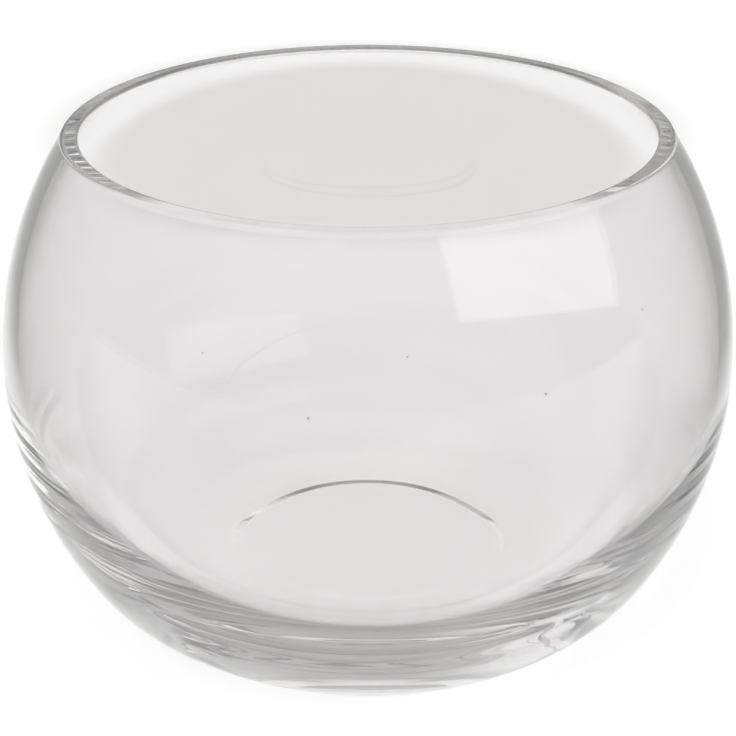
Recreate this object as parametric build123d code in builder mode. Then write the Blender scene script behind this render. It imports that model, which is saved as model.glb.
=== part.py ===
"""Clear glass rose bowl: one bubble of blown glass, cut open at the top, on a thick floor.

The frame is +Z up, in millimetres. The origin is on the bowl's axis, on the surface it stands on.
Everything is turned about the Z axis from one half section, so every point is given as (radius, height).
"""

import math
import os

from build123d import *

# Driving dimensions: the outside
BELLY_DIAMETER = 100.0  # the widest part of the bowl
BELLY_HEIGHT = 38.4  # from the table up to the widest part
HEIGHT = 69.9  # from the table up to the rim
RIM_DIAMETER = 80.1  # across the outer edge of the rim
SIDE_RADIUS = 52.5  # curve of the side below the belly, seen in section
HEEL_RADIUS = 23.5  # curve that rolls the side under into the base

# Driving dimensions: the underside
FOOT_WIDTH = 1.6  # width of the flat ring that touches the table
PUNT_DEPTH = 0.3  # how far the underside inside that ring is raised off the table
PUNT_EDGE_WIDTH = 1.2  # width of the sloped edge between the ring and the raised part
PUNT_SOFTENING = 0.5  # curve at the top and the foot of that slope

# Driving dimensions: the inside
WALL = 1.95  # thickness of the glass from the belly up to the rim
FLOOR_THICKNESS = 5.8  # height of the middle of the inner floor above the table
FLOOR_DIAMETER = 59.2  # where the inner side would meet the floor if the corner were sharp
FLOOR_DISH = 0.8  # rise of the floor from its middle to that corner
INNER_HEEL_RADIUS = 16.0  # curve of the inner corner

# Driving dimensions: the rim, ground flat and then softened by fire
RIM_OUTER_SOFTENING = 0.45
RIM_INNER_SOFTENING = 0.7

# Radii that follow
belly_radius = BELLY_DIAMETER / 2
inner_belly_radius = belly_radius - WALL
rim_radius = RIM_DIAMETER / 2

# Above the belly the section is one arc, upright at the belly, that ends at the rim.
# The inner arc has the same centre, so the wall keeps its thickness.
rim_rise = HEIGHT - BELLY_HEIGHT
rim_draw = belly_radius - rim_radius
shoulder_radius = (rim_rise**2 + rim_draw**2) / (2 * rim_draw)
mouth_radius = belly_radius - shoulder_radius + math.sqrt((shoulder_radius - WALL) ** 2 - rim_rise**2)

# Below the belly the side arc runs into the heel arc, and the heel arc ends flat on the table.
# The heel's centre lies above the outer edge of the foot, and inside the side arc by the difference of their radii.
side_centre = Vector(belly_radius - SIDE_RADIUS, BELLY_HEIGHT)
heel_reach = math.sqrt((SIDE_RADIUS - HEEL_RADIUS) ** 2 - (BELLY_HEIGHT - HEEL_RADIUS) ** 2)
foot_radius = side_centre.X + heel_reach
heel_centre = Vector(foot_radius, HEEL_RADIUS)
heel_top = side_centre + (heel_centre - side_centre).normalized() * SIDE_RADIUS
ring_inner_radius = foot_radius - FOOT_WIDTH
punt_radius = ring_inner_radius - PUNT_EDGE_WIDTH

# Places on the axis and in the corners of the half section
punt_middle = (0, PUNT_DEPTH)
punt_edge = (punt_radius, PUNT_DEPTH)
ring_edge = (ring_inner_radius, 0)
foot_edge = (foot_radius, 0)
belly = (belly_radius, BELLY_HEIGHT)
rim_outer = (rim_radius, HEIGHT)
rim_inner = (mouth_radius, HEIGHT)
inner_belly = (inner_belly_radius, BELLY_HEIGHT)
floor_corner = (FLOOR_DIAMETER / 2, FLOOR_THICKNESS + FLOOR_DISH)
floor_middle = (0, FLOOR_THICKNESS)

LEVEL = (1, 0)
UP = (0, 1)
DOWN = (0, -1)

with BuildPart() as glass_bowl:
    with BuildSketch(Plane.XZ) as section:
        with BuildLine():
            # Underside, from the axis outwards: the raised middle, its sloped edge, then the flat foot ring
            Polyline(punt_middle, punt_edge, ring_edge, foot_edge)
            # Outside, from the foot up to the rim
            TangentArc(foot_edge, (heel_top.X, heel_top.Y), tangent=LEVEL)
            TangentArc(belly, (heel_top.X, heel_top.Y), tangent=DOWN)
            TangentArc(belly, rim_outer, tangent=UP)
            Line(rim_outer, rim_inner)
            # Inside, from the rim down to the floor
            TangentArc(inner_belly, rim_inner, tangent=UP)
            TangentArc(inner_belly, floor_corner, tangent=DOWN)
            TangentArc(floor_middle, floor_corner, tangent=LEVEL)
            Line(floor_middle, punt_middle)
        make_face()
        fillet(section.vertices().sort_by_distance(punt_edge)[0], PUNT_SOFTENING)
        fillet(section.vertices().sort_by_distance(ring_edge)[0], PUNT_SOFTENING)
        fillet(section.vertices().sort_by_distance(floor_corner)[0], INNER_HEEL_RADIUS)
        fillet(section.vertices().sort_by_distance(rim_outer)[0], RIM_OUTER_SOFTENING)
        fillet(section.vertices().sort_by_distance(rim_inner)[0], RIM_INNER_SOFTENING)
    revolve(axis=Axis.Z)

glass_bowl.part.label = "glass_bowl"

os.makedirs("parts", exist_ok=True)
export_step(glass_bowl.part, "parts/glass_bowl.step")

print(f"foot ring: outer radius {foot_radius:.2f} mm, inner radius {ring_inner_radius:.2f} mm")
print(f"rim: outer radius {rim_radius:.2f} mm, mouth radius {mouth_radius:.2f} mm")
print(f"glass: {glass_bowl.part.volume / 1000:.1f} cm3")
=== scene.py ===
# %% [markdown]
# # A rose bowl in clear glass
# A rose bowl is a bubble of blown glass, cut open at the top, for short-stemmed flowers. Clear glass has hardly
# any colour of its own. What the eye sees is everything around the bowl, bent and mirrored by the two faces of its
# wall. So this lesson spends its time on three things: the exact shape of the glass, inside as well as outside,
# the shader that bends light, and the plain studio that the glass shows.
#
# The solid model of the bowl is loaded first, as a frame. It gives the real size.

# %% Load the frame
import math

import bmesh
import bpy
from mathutils import Matrix, Vector, noise


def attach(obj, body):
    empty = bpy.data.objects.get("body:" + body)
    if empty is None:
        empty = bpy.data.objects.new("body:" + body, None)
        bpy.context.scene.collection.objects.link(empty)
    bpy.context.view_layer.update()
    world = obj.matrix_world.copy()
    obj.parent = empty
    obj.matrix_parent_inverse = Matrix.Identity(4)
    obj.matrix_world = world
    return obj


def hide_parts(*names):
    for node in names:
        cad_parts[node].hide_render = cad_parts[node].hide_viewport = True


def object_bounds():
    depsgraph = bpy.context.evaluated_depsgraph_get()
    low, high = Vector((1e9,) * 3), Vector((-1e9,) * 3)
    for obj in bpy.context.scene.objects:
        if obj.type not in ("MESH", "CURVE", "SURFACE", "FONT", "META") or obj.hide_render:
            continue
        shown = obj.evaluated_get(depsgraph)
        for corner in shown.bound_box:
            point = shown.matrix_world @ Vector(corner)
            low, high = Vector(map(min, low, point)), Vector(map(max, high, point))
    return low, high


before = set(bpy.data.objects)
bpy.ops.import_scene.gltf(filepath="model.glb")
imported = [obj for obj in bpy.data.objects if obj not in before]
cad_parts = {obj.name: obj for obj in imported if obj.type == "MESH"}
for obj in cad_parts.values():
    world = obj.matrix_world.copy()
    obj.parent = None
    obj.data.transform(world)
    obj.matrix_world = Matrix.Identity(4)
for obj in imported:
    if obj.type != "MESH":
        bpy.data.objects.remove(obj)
cad_low, cad_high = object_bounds()
scene = bpy.context.scene

MM = 0.001  # the sizes below are in millimetres, and Blender works in metres
belly_radius = round((cad_high.x - cad_low.x) / 2 / MM, 1)
rim_height = round(cad_high.z / MM, 1)
print("bowl:", 2 * belly_radius, "mm across and", rim_height, "mm high")

# %% [markdown]
# ## The camera
# The picture was taken from close by, a little above the rim, so the mouth shows as a wide ellipse. The place of a
# camera is easiest to give as it is measured: a distance and an elevation from the middle of the belly, and the
# focal length in pixels of the picture. Blender wants that focal length in millimetres of a 36 mm sensor. The belly
# isn't quite in the middle of the picture, and the lens shift takes that up without tilting the camera.

# %% Place the camera
IMAGE_SIDE = 736  # pixels
FOCAL_PIXELS = 1717
BELLY_PIXEL = (368.0, 339.9)  # where the middle of the belly falls, from the top left corner
CAMERA_DISTANCE = 240.0
CAMERA_ELEVATION = math.radians(24.67)
SENSOR = 36.0
BELLY_HEIGHT = 38.4  # from the table up to the widest part

belly_middle = Vector((0, 0, BELLY_HEIGHT))


def direction(azimuth, elevation):
    """The unit vector towards a place round the bowl. Azimuth 0 is the camera's side and 90 is the right."""
    level = math.cos(elevation)
    return Vector((math.sin(azimuth) * level, -math.cos(azimuth) * level, math.sin(elevation)))


lens = bpy.data.cameras.new("camera")
lens.sensor_fit = "HORIZONTAL"
lens.sensor_width = SENSOR
lens.lens = SENSOR * FOCAL_PIXELS / IMAGE_SIDE
lens.shift_x = 0.5 - BELLY_PIXEL[0] / IMAGE_SIDE
lens.shift_y = BELLY_PIXEL[1] / IMAGE_SIDE - 0.5
lens.clip_start = 0.01
camera = bpy.data.objects.new("camera", lens)
scene.collection.objects.link(camera)
camera.location = (belly_middle + direction(0, CAMERA_ELEVATION) * CAMERA_DISTANCE) * MM
camera.rotation_euler = (math.pi / 2 - CAMERA_ELEVATION, 0, 0)
scene.camera = camera
print("lens:", round(lens.lens, 1), "mm at", [round(c / MM) for c in camera.location], "mm")

# %% [markdown]
# ## The section of the glass
# Cut the bowl in half and the cut face of the glass is a long thin shape: a thin wall above, a thick floor below.
# Glass is judged by both of its faces, because light bends as it goes in and again as it comes out. A single skin
# with a Solidify modifier would give a wall of one thickness, and the bands of light in the heavy base would be
# missing. So the whole outline of the cut is drawn once, outside and inside, and then spun about the axis.
#
# The outline needs no list of points. One vertex starts in the middle of the underside. Each arc is that vertex
# spun about the arc's centre, and each straight run is the vertex extruded to its end.

# %% Helpers that carry the section on from its last vertex
SECTION_STEP = 0.8  # spacing of the vertices along the section


def swing(bm, tip, centre, turn):
    """Carries the section on round an arc and returns its new last vertex."""
    radius = (tip.co - centre).length
    steps = max(4, math.ceil(radius * abs(turn) / SECTION_STEP))
    made = bmesh.ops.spin(bm, geom=[tip], cent=centre, axis=(0, 1, 0), angle=turn, steps=steps)
    return next(part for part in made["geom_last"] if isinstance(part, bmesh.types.BMVert))


def straight(bm, tip, end):
    """Carries the section on to a point and returns its new last vertex."""
    made = bmesh.ops.extrude_vert_indiv(bm, verts=[tip])
    made["verts"][0].co = end
    return made["verts"][0]


# %% [markdown]
# ## The outside of the section
# The underside is a flat middle, raised a hair off the table, inside a narrow ring that the bowl stands on. The
# step between them is small, but seen through the floor it draws one thin dark line. From the ring the glass rolls
# round a heel into the side, passes the belly, and draws in to the rim. Each arc starts in the direction in which
# the last one ended, so the centres follow from the radii.

# %% Sizes and centres of the outside
RIM_RADIUS = 40.05
SIDE_RADIUS = 52.5  # curve of the side below the belly
HEEL_RADIUS = 23.5  # curve that rolls the side under
FOOT_WIDTH = 1.6  # the flat ring on the table
PUNT_DEPTH = 0.3  # how far the middle of the underside is raised
PUNT_EDGE_WIDTH = 1.2  # the slope from the ring up to the raised middle

rim_rise = rim_height - BELLY_HEIGHT
rim_draw = belly_radius - RIM_RADIUS
shoulder_radius = (rim_rise**2 + rim_draw**2) / (2 * rim_draw)
shoulder_centre = Vector((belly_radius - shoulder_radius, 0, BELLY_HEIGHT))
side_centre = Vector((belly_radius - SIDE_RADIUS, 0, BELLY_HEIGHT))
heel_reach = math.sqrt((SIDE_RADIUS - HEEL_RADIUS) ** 2 - (BELLY_HEIGHT - HEEL_RADIUS) ** 2)
heel_centre = side_centre + Vector((heel_reach, 0, HEEL_RADIUS - BELLY_HEIGHT))
heel_turn = math.atan2(heel_reach, BELLY_HEIGHT - HEEL_RADIUS)
foot_radius = heel_centre.x
ring_radius = foot_radius - FOOT_WIDTH
punt_radius = ring_radius - PUNT_EDGE_WIDTH
print("foot ring:", round(2 * foot_radius, 1), "mm across")

# %% [markdown]
# ## The inside of the section
# The inner wall runs parallel to the outside from the rim down to the belly. Below that the glass thickens: the
# inner side, the inner heel and the slightly dished floor are three more arcs. The inner heel has to touch both of
# its neighbours, so its centre is where two circles cross: one about the side's centre, one about the floor's.

# %% Sizes and centres of the inside
WALL = 1.95
FLOOR_THICKNESS = 5.8
FLOOR_RADIUS = 29.6  # where the inner side would meet the floor in a sharp corner
FLOOR_DISH = 0.8
INNER_HEEL_RADIUS = 16.0

mouth_radius = shoulder_centre.x + math.sqrt((shoulder_radius - WALL) ** 2 - rim_rise**2)
inner_draw = belly_radius - WALL - FLOOR_RADIUS
inner_drop = BELLY_HEIGHT - FLOOR_THICKNESS - FLOOR_DISH
inner_side_radius = (inner_draw**2 + inner_drop**2) / (2 * inner_draw)
inner_side_centre = Vector((belly_radius - WALL - inner_side_radius, 0, BELLY_HEIGHT))
dish_radius = (FLOOR_RADIUS**2 + FLOOR_DISH**2) / (2 * FLOOR_DISH)
dish_centre = Vector((0, 0, FLOOR_THICKNESS + dish_radius))

across = dish_centre - inner_side_centre
from_side = inner_side_radius - INNER_HEEL_RADIUS
from_dish = dish_radius - INNER_HEEL_RADIUS
along = (from_side**2 - from_dish**2 + across.length_squared) / (2 * across.length)
aside = math.sqrt(from_side**2 - along**2)
outward = Vector((across.z, 0, -across.x)).normalized()
inner_heel_centre = inner_side_centre + across.normalized() * along + outward * aside

to_side = inner_heel_centre - inner_side_centre
to_dish = inner_heel_centre - dish_centre
inner_side_turn = math.atan2(-to_side.z, to_side.x)
dish_turn = math.atan2(to_dish.x, -to_dish.z)
inner_heel_turn = math.pi / 2 - inner_side_turn - dish_turn
print("mouth:", round(2 * mouth_radius, 1), "mm across, floor", FLOOR_THICKNESS, "mm thick")

# %% [markdown]
# ## Spin the section into a bowl
# A full spin with use_merge joins the last copy of the section to the first. The two ends of the section lie on the
# axis, so each spins into a bundle of vertices on one spot, and merging doubles turns them into closed poles.
# The rim was ground flat and then softened in a flame, so its two edges get a small round bevel, the inner one more
# than the outer. The step of the underside is softened in the same way.

# %% Make the bowl's mesh
AROUND = 256  # copies of the section in a full turn
RIM_OUTER_SOFTENING = 0.45
RIM_INNER_SOFTENING = 0.7
PUNT_SOFTENING = 0.12
SAME_PLACE = 0.001  # vertices closer than this are one


def edge_loop(bm, radius, height):
    """The edges of the circle with this radius and height."""
    def on_it(vert):
        return abs(vert.co.z - height) < SAME_PLACE and abs(vert.co.xy.length - radius) < SAME_PLACE
    return [edge for edge in bm.edges if all(on_it(vert) for vert in edge.verts)]


bm = bmesh.new()
tip = bm.verts.new((0, 0, PUNT_DEPTH))
tip = straight(bm, tip, Vector((punt_radius, 0, PUNT_DEPTH)))
tip = straight(bm, tip, Vector((ring_radius, 0, 0)))
tip = straight(bm, tip, Vector((foot_radius, 0, 0)))
tip = swing(bm, tip, heel_centre, -heel_turn)
tip = swing(bm, tip, side_centre, heel_turn - math.pi / 2)
tip = swing(bm, tip, shoulder_centre, -math.asin(rim_rise / shoulder_radius))
tip = straight(bm, tip, Vector((mouth_radius, 0, rim_height)))
tip = swing(bm, tip, shoulder_centre, math.asin(rim_rise / (shoulder_radius - WALL)))
tip = swing(bm, tip, inner_side_centre, inner_side_turn)
tip = swing(bm, tip, inner_heel_centre, inner_heel_turn)
tip = swing(bm, tip, dish_centre, dish_turn)
tip.co = (0, 0, FLOOR_THICKNESS)
section_vertices = len(bm.verts)

bmesh.ops.spin(bm, geom=bm.verts[:] + bm.edges[:], cent=(0, 0, 0), axis=(0, 0, 1),
               angle=math.tau, steps=AROUND, use_merge=True)
bmesh.ops.remove_doubles(bm, verts=bm.verts, dist=SAME_PLACE)
for radius, height, softening in (
    (RIM_RADIUS, rim_height, RIM_OUTER_SOFTENING),
    (mouth_radius, rim_height, RIM_INNER_SOFTENING),
    (punt_radius, PUNT_DEPTH, PUNT_SOFTENING),
    (ring_radius, 0, PUNT_SOFTENING),
):
    bmesh.ops.bevel(bm, geom=edge_loop(bm, radius, height), offset=softening, offset_type="OFFSET",
                    segments=6, profile=0.5, affect="EDGES", material=-1)
bmesh.ops.recalc_face_normals(bm, faces=bm.faces)
bm.normal_update()
print("section of", section_vertices, "vertices,", len(bm.faces), "faces,",
      sum(not edge.is_manifold for edge in bm.edges), "open edges,", round(bm.calc_volume() / 1000, 1), "cm3")

# %% [markdown]
# ## The hand of the blower
# A spun mesh is too perfect. The outside of a blown bowl takes the shape of its mould, but the inside is shaped by
# breath alone: the glass lies heavier on one side of the base, and the inner face rolls gently. The bowl also turned
# on the pipe while it was soft, which left faint rings in the glass, long round the bowl and short along the wall.
# They draw the long streaks of the base. A Displace modifier could roll both faces alike, but the two faces of a wall
# aren't alike. So every vertex is moved along its normal by two noises, one even and one stretched round the bowl, and
# the inner face also by the heavy side. The moves fade out towards the rim and, on the outside, towards the foot.

# %% Make the glass uneven
HEAVY_SIDE = 1.0  # how much the glass is thicker at the front left of the base
HEAVY_WAY = direction(math.radians(-20), 0)
ROLL = 0.03  # height of the gentle waves of the inner face
ROLL_LENGTH = 20.0  # from one wave to the next
RING = 0.012  # height of the turned rings inside
RING_OUTSIDE = 0.006
RING_LENGTH = 4.0  # from one ring to the next, along the wall
RING_REACH = 120.0  # how far a ring runs round the bowl before it changes
RIM_FADE = 14.0  # depth below the rim at which the full unevenness is reached
FOOT_FADE = 5.0  # height above the table at which the outside reaches it
TRUE_EDGE = 1.0  # height at the rim, and at the foot outside, that is left true

for vert in bm.verts:
    place = vert.co.copy()
    faces_hollow = (belly_middle - place).dot(vert.normal) > 0
    fade = min(1.0, max(0.0, (rim_height - TRUE_EDGE - place.z) / RIM_FADE))
    down_wall = (place.xy.length + place.z) / RING_LENGTH
    ring = noise.noise(Vector((place.x / RING_REACH, place.y / RING_REACH, down_wall)))
    if faces_hollow:
        roll = noise.noise(place / ROLL_LENGTH)
        heavy = HEAVY_SIDE * place.dot(HEAVY_WAY) / belly_radius * (1 - place.z / rim_height) ** 2
        vert.co += vert.normal * (ROLL * roll + RING * ring + heavy) * fade
    elif place.z > TRUE_EDGE:
        vert.co += vert.normal * RING_OUTSIDE * ring * min(fade, (place.z - TRUE_EDGE) / FOOT_FADE)
print("unevenness: rolls of", ROLL, "mm and rings of", RING, "mm")

# %% [markdown]
# ## Seeds
# Blown glass keeps a few seeds: air bubbles no bigger than a grain of sand, which show as dark specks. A seed could be
# a dark dot in the material, but then it would not bend light. Here each is a small sphere, halfway into the wall.
# Its faces are turned round, because the faces of a piece of glass point out of the glass, and inside a bubble that
# is towards its middle.

# %% Set the seeds in the wall
SEED_RADIUS = 0.14
SEEDS = (  # degrees round the bowl from the front, and degrees up or down from the belly
    (-8, 13), (25, 14), (65, 22), (-25, -14), (-17, -17), (118, -6), (-142, -22), (171, -27),
)

for around, up in SEEDS:
    centre, radius = (shoulder_centre, shoulder_radius) if up > 0 else (side_centre, SIDE_RADIUS)
    reach = radius - WALL / 2
    level = centre.x + reach * math.cos(math.radians(up))
    place = direction(math.radians(around), 0) * level
    place.z = centre.z + reach * math.sin(math.radians(up))
    seed = bmesh.ops.create_icosphere(bm, subdivisions=2, radius=SEED_RADIUS, matrix=Matrix.Translation(place))
    bmesh.ops.reverse_faces(bm, faces=list({face for vert in seed["verts"] for face in vert.link_faces}))
bmesh.ops.scale(bm, verts=bm.verts, vec=(MM, MM, MM))
print("seeds:", len(SEEDS))

# %% Turn it into an object on the frame
mesh = bpy.data.meshes.new("blown_bowl")
bm.to_mesh(mesh)
bm.free()
mesh.shade_smooth()
blown_bowl = bpy.data.objects.new("blown_bowl", mesh)
scene.collection.objects.link(blown_bowl)
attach(blown_bowl, "root")
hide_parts("glass_bowl")
print("piece:", blown_bowl.name, "with", len(mesh.polygons), "faces")

# %% [markdown]
# ## Clear soda-lime glass
# Bowls like this are soda-lime glass, the glass of bottles and windows, with an index of refraction of 1.52. It is
# blown and fire-polished, so it has no roughness to speak of. Two things give it a tone: the Base Color takes a few
# hundredths of the light at each face, and a Volume Absorption takes more where the glass is thick, so the base is
# greyer than the wall. What makes the surface uneven is in the mesh already, as rolls, rings and seeds, where it bends
# light as it does in the real glass. A bump in the material would only bend the shading.

# %% Helpers for materials
def linear(hex_colour):
    """A colour written as sRGB hex, as the linear colour that a shader wants."""
    parts = [int(hex_colour[k:k + 2], 16) / 255 for k in (1, 3, 5)]
    return (*[p / 12.92 if p <= 0.04045 else ((p + 0.055) / 1.055) ** 2.4 for p in parts], 1.0)


def add_node(tree, kind, settings=None, links=None, **inputs):
    """Adds one node: its settings, then its links from other nodes' outputs, then the values of its inputs."""
    node = tree.nodes.new(kind)
    for name, value in (settings or {}).items():
        setattr(node, name, value)
    for name, output in (links or {}).items():
        tree.links.new(output, node.inputs[name])
    for name, value in inputs.items():
        node.inputs[name.replace("_", " ")].default_value = value
    return node


# %% Make the glass
GLASS_TINT = "#F3F2F2"
GLASS_IOR = 1.52
TRACE_TINT = "#C8C7C5"
TRACE_DENSITY = 6.0  # per metre

glass = bpy.data.materials.new("clear soda-lime glass, blown")
glass.use_nodes = True
tree = glass.node_tree
shader = tree.nodes["Principled BSDF"]
shader.inputs["Base Color"].default_value = linear(GLASS_TINT)
shader.inputs["Roughness"].default_value = 0.0
shader.inputs["IOR"].default_value = GLASS_IOR
shader.inputs["Transmission Weight"].default_value = 1.0
trace = add_node(tree, "ShaderNodeVolumeAbsorption", Color=linear(TRACE_TINT), Density=TRACE_DENSITY)
tree.links.new(trace.outputs["Volume"], tree.nodes["Material Output"].inputs["Volume"])
mesh.materials.append(glass)
print("material:", glass.name)

# %% [markdown]
# ## The table
# Clear glass on a white table would be lost, white on white. Photographers of glass know a way out, the bright field:
# the paper is white only where the lens looks, and grey from the edge of the picture outwards. The sides of the bowl
# bend the view sideways, past the white, and so they draw themselves as grey lines. Behind the bowl lies a round grey
# card with a soft edge, where the open mouth hides nearly all of it. The card is painted shade: its grey stands in for
# shade on the table behind the bowl, and it gives the mouth a darker tone than the white paper.
#
# Both follow from the camera. The edge of the picture crosses the table along two straight lines, so the grey starts
# where X is greater than a slope times Y plus an offset. The mouth is a level circle, and the lens throws it onto the
# table as another circle, larger and further back. The far wall bends the view outwards, so the painted-shade card is
# larger still.
#
# Part of the paper's white is a glow that shows to the lens, directly and by way of the glass. So the lamps can stay
# at a plain level, and the paper is still white.

# %% Make the table
TABLE_REACH = 3.0  # metres from the middle to each side
TABLE_GAP = 0.05  # millimetres from the table up to the foot, so that the two faces don't share a plane
# The card below is painted shade: a grey disc on the table behind the bowl, seen through the mouth.
PAINTED_SHADE_MARGIN = 6.0  # how far the card reaches past the rim, in the plane of the rim

bm = bmesh.new()
bmesh.ops.create_grid(bm, x_segments=1, y_segments=1, size=TABLE_REACH)
bmesh.ops.translate(bm, verts=bm.verts, vec=(0, 0, -TABLE_GAP * MM))
table_mesh = bpy.data.meshes.new("table")
bm.to_mesh(table_mesh)
bm.free()
table = bpy.data.objects.new("table", table_mesh)
scene.collection.objects.link(table)

half_view = IMAGE_SIDE / 2 / FOCAL_PIXELS
view_slope = math.cos(CAMERA_ELEVATION) * half_view
view_offset = camera.location.z * math.sin(CAMERA_ELEVATION) * half_view - camera.location.y * view_slope
# Size and place of the painted-shade card, a grey disc that stands in for shade behind the bowl.
throw = camera.location.z / (camera.location.z - rim_height * MM)
painted_shade_middle = camera.location.y * (1 - throw)
painted_shade_radius = (RIM_RADIUS + PAINTED_SHADE_MARGIN) * MM * throw
print("card:", round(painted_shade_radius / MM), "mm in radius,", round(painted_shade_middle / MM), "mm behind the bowl")

# %% Paint the table
PAPER = "#F7F7F7"
PAPER_SIDES = "#A4A4A3"
# grey of the painted-shade card behind the bowl
PAINTED_SHADE_CARD = "#E0DFDE"
SIDE_FADE = 0.06  # metres over which the paper turns grey
LEFT_MARGIN = 0.008  # the left side turns grey further out
FRONT_FADE = 0.1  # length over which the grey fades away in front of the bowl's middle
PAINTED_SHADE_FADE = 0.022  # width of the card's soft edge
PAPER_GLOW = 0.42

paper = bpy.data.materials.new("graded matt paper")
paper.use_nodes = True
tree = paper.node_tree
shader = tree.nodes["Principled BSDF"]
shader.inputs["Roughness"].default_value = 1.0
shader.inputs["Specular IOR Level"].default_value = 0.0
place = add_node(tree, "ShaderNodeTexCoord")
axes = add_node(tree, "ShaderNodeSeparateXYZ", links={"Vector": place.outputs["Object"]})


def maths(operation, first, second=None, third=None):
    """One step of arithmetic on numbers or on the outputs of nodes."""
    node = add_node(tree, "ShaderNodeMath", settings={"operation": operation})
    for socket, value in zip(node.inputs, (first, second, third)):
        if isinstance(value, bpy.types.NodeSocket):
            tree.links.new(value, socket)
        elif value is not None:
            socket.default_value = value
    return node.outputs["Value"]


def ramp(value, start, end, low=0.0, high=1.0):
    """A smooth change from one level to another as a value goes from start to end."""
    return add_node(tree, "ShaderNodeMapRange", settings={"interpolation_type": "SMOOTHSTEP"}, links={"Value": value},
                    From_Min=start, From_Max=end, To_Min=low, To_Max=high).outputs["Result"]


def blend(amount, first, second):
    """A mix of two colours, each a linear colour or the output of a node."""
    node = add_node(tree, "ShaderNodeMix", settings={"data_type": "RGBA"}, links={"Factor": amount})
    for socket, value in zip((node.inputs[6], node.inputs[7]), (first, second)):
        if isinstance(value, bpy.types.NodeSocket):
            tree.links.new(value, socket)
        else:
            socket.default_value = value
    return node.outputs[2]


aside = maths("ABSOLUTE", maths("ADD", axes.outputs["X"], LEFT_MARGIN / 2))
view_edge = maths("MULTIPLY_ADD", axes.outputs["Y"], view_slope, view_offset + LEFT_MARGIN / 2)
outside = maths("MULTIPLY", ramp(maths("SUBTRACT", aside, view_edge), 0.0, SIDE_FADE),
                ramp(axes.outputs["Y"], -FRONT_FADE, 0.0))
# The painted shade: a grey disc behind the bowl, blended over the paper's colour.
from_painted_shade = add_node(tree, "ShaderNodeVectorMath", settings={"operation": "DISTANCE"},
                     links={0: place.outputs["Object"]})
from_painted_shade.inputs[1].default_value = (0, painted_shade_middle, 0)
on_painted_shade = ramp(from_painted_shade.outputs["Value"], painted_shade_radius, painted_shade_radius - PAINTED_SHADE_FADE)
colour = blend(on_painted_shade, blend(outside, linear(PAPER), linear(PAPER_SIDES)), linear(PAINTED_SHADE_CARD))
path = add_node(tree, "ShaderNodeLightPath")
mirrored = maths("MAXIMUM", path.outputs["Is Camera Ray"], path.outputs["Is Glossy Ray"])
seen = maths("MAXIMUM", mirrored, path.outputs["Is Transmission Ray"])
tree.links.new(colour, shader.inputs["Base Color"])
tree.links.new(colour, shader.inputs["Emission Color"])
tree.links.new(maths("MULTIPLY", seen, PAPER_GLOW), shader.inputs["Emission Strength"])
table_mesh.materials.append(paper)
print("table:", 2 * TABLE_REACH, "m wide, material", paper.name)

# %% [markdown]
# ## The room
# Glass mirrors the room, so the room is part of its look, and the heavy base shows the ceiling above all. A world
# shader can paint a room from the direction of each ray: its X says left or right, its Y front or back, and its Z how
# high. The front wall is brighter than the sides, the back wall is bright at the left, where it puts light into the
# right of the base, and the ceiling is bright overhead.
#
# A round lamp hangs high at the left, on the camera's side, and throws a soft shadow. Its mirror image would be a hard
# white spot, which a photographer takes away with a polarising filter. Light Path does that here: a ray that comes to
# the lens by way of glass alone gets a small share of the lamp. The lamp is painted into the world because the world's
# shader is told the kind of each ray. In Cycles, a lamp's own shader isn't.

# %% Paint the room
WALLS = 0.4
WALL_FRONT = 0.4  # how much brighter the front is
WALL_BACK = 0.8  # how much brighter the back is at the left, above the table's edge
BACK_RIGHT = 0.35  # how much of that is left in the middle and at the right
CEILING = 0.75
FRONT_WALL = (0.1, -0.9)  # Y of a ray where the front starts to show, and where it is full
BACK_WALL = (0.45, 0.85)
TABLE_EDGE = (0.13, 0.3)  # Z of a ray above the far edge of the table
BACK_LEFT = (-0.1, -0.35)  # X of a ray
WALL_TOP = (0.85, 0.6)
CEILING_EDGE = (0.75, 0.9)
LAMP_LEVEL = 8.0
LAMP_AZIMUTH = -17.0
LAMP_ELEVATION = 50.0
LAMP_RADIUS = math.radians(6.0)
LAMP_SOFTNESS = (1.3, 0.7)  # parts of the radius where the lamp starts to show, and where it is full
MIRRORED_SHARE = 0.04  # how much of the lamp the glass mirrors into the lens

room = bpy.data.worlds.new("grey room")
scene.world = room
room.use_nodes = True
tree = room.node_tree
ray = add_node(tree, "ShaderNodeTexCoord")
axes = add_node(tree, "ShaderNodeSeparateXYZ", links={"Vector": ray.outputs["Generated"]})
front = ramp(axes.outputs["Y"], *FRONT_WALL, WALLS, WALLS + WALL_FRONT)
at_back = ramp(axes.outputs["Y"], *BACK_WALL, 0.0, WALL_BACK)
above_table = maths("MULTIPLY", at_back, ramp(axes.outputs["Z"], *TABLE_EDGE))
back = maths("MULTIPLY", above_table, ramp(axes.outputs["X"], *BACK_LEFT, BACK_RIGHT, 1.0))
below_ceiling = ramp(axes.outputs["Z"], *WALL_TOP)
walls = maths("MULTIPLY", maths("ADD", front, back), below_ceiling)
ceiling = ramp(axes.outputs["Z"], *CEILING_EDGE, 0.0, CEILING)
towards_lamp = add_node(tree, "ShaderNodeVectorMath", settings={"operation": "DOT_PRODUCT"},
                        links={0: ray.outputs["Generated"]})
towards_lamp.inputs[1].default_value = direction(math.radians(LAMP_AZIMUTH), math.radians(LAMP_ELEVATION))
lamp_edge = [math.cos(LAMP_RADIUS * part) for part in LAMP_SOFTNESS]
lamp = ramp(towards_lamp.outputs["Value"], *lamp_edge, 0.0, LAMP_LEVEL)
path = add_node(tree, "ShaderNodeLightPath")
through_glass = maths("MAXIMUM", path.outputs["Is Glossy Ray"], path.outputs["Is Transmission Ray"])
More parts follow.
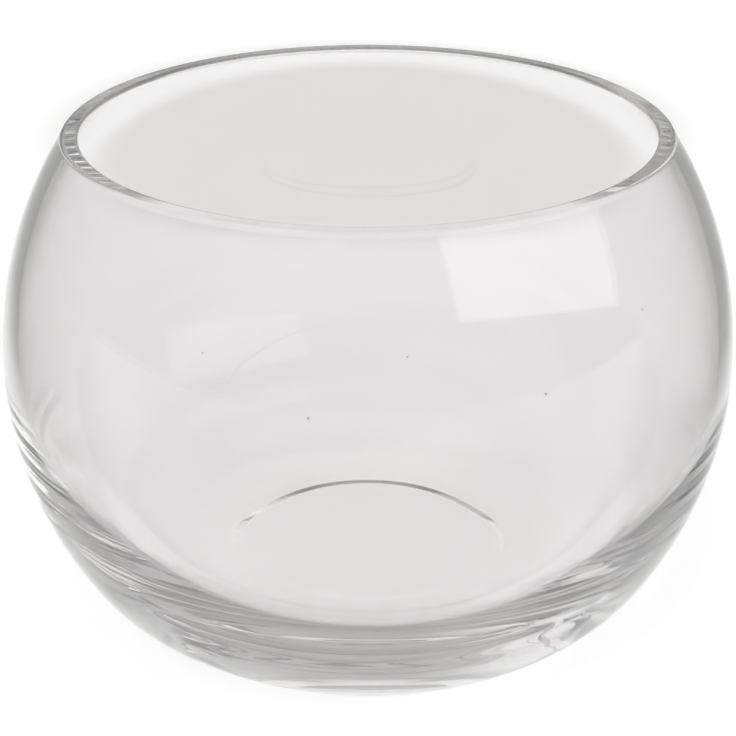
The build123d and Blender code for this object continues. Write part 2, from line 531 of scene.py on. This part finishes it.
in_lens = maths("MULTIPLY", through_glass, maths("LESS_THAN", path.outputs["Diffuse Depth"], 0.5))
filtered = maths("MULTIPLY", lamp, ramp(in_lens, 0.0, 1.0, 1.0, MIRRORED_SHARE))
level = maths("ADD", maths("ADD", walls, ceiling), filtered)
tree.links.new(level, tree.nodes["Background"].inputs["Strength"])
tree.nodes["Background"].inputs["Color"].default_value = linear("#FFFFFF")
print("room: walls", WALLS, "and ceiling", CEILING)

# %% [markdown]
# ## The soft box
# One large soft box at the right draws the pale four-sided patch on the shoulder of the glass. A window painted into
# the world would do as well, but an area lamp is easier to aim and has straight edges. Its power follows from how
# bright its face should look: the power of a flat lamp is its brightness times pi times its area.

# %% Hang the soft box
def soft_box(name, azimuth, elevation, distance, width, height, roll, brightness):
    """A flat lamp that faces the bowl. Angles are in degrees, sizes in metres; white paper has brightness 1."""
    light = bpy.data.lights.new(name, "AREA")
    light.shape = "RECTANGLE"
    light.size = width
    light.size_y = height
    light.energy = brightness * math.pi * width * height
    box = bpy.data.objects.new(name, light)
    scene.collection.objects.link(box)
    back = direction(math.radians(azimuth), math.radians(elevation))
    turned = back.to_track_quat("Z", "Y").to_matrix().to_4x4() @ Matrix.Rotation(math.radians(roll), 4, "Z")
    box.matrix_world = Matrix.Translation(belly_middle * MM + back * distance) @ turned
    print(name, round(light.energy, 1), "W")


soft_box("right soft box", azimuth=60, elevation=29, distance=1.2, width=1.22, height=0.52, roll=-17, brightness=1.1)

# %% [markdown]
# ## Light that goes through glass
# A ray in the base can bounce dozens of times between the two faces before it gets out, so the limits on bounces are
# raised. Caustics stay on, because the light under a glass bowl is nothing else. The Standard view shows a
# colour as it is written.

# %% Settle the light paths
BOUNCES = 64
scene.cycles.max_bounces = BOUNCES
scene.cycles.transmission_bounces = BOUNCES
scene.cycles.glossy_bounces = BOUNCES
scene.cycles.caustics_refractive = True
scene.cycles.caustics_reflective = True
scene.cycles.blur_glossy = 0.0
scene.cycles.use_denoising = True
scene.view_settings.view_transform = "Standard"
print("bounces:", BOUNCES)
